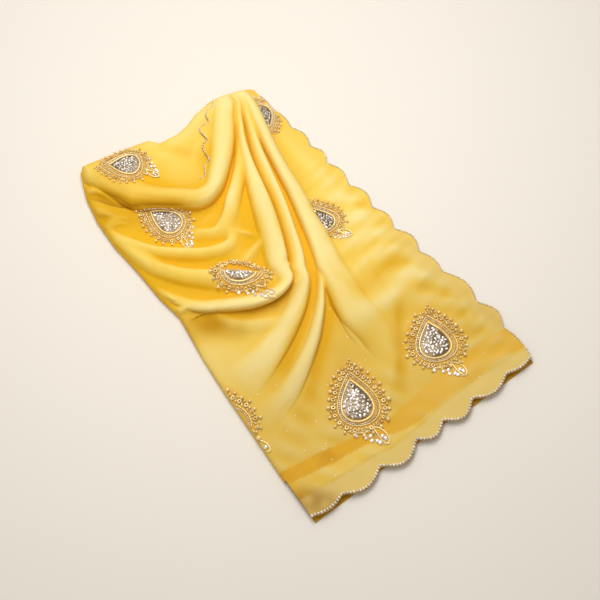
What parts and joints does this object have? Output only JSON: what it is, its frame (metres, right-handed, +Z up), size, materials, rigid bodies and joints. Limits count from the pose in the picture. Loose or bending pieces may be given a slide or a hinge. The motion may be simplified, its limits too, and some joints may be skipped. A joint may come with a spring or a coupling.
{
  "type": "folded silk sari",
  "caption": "Sheer yellow silk sari, folded in four and laid flat, with fanned pleats, a rolled fold, scalloped beaded edges and embroidered teardrops.",
  "frame": {"origin": "middle of the folded sari's outline, on the flat surface that it rests on", "axes": "+Z up, +Y along the length from the scalloped end towards the gathered end, +X across the folded width towards the long scalloped edge"},
  "size_m": [0.292, 0.4732, 0.0244],
  "materials": {
    "silk": "satin",
    "border_silk": "satin",
    "layered_silk": "satin",
    "silver_beads": "gloss",
    "gold_thread": "satin"
  },
  "bodies": {
    "root": {"turned_panel": "silk", "rolled_fold": "silk", "swag_stretch": "silk", "long_pleat": "silk", "sweep_pleat": "silk", "lower_stretch": "silk", "edge_pleat": "silk", "side_panel": "silk", "side_border": "silk", "end_border": "border_silk", "under_border": "layered_silk", "hidden_layers": "layered_silk"}
  },
  "joints": []
}
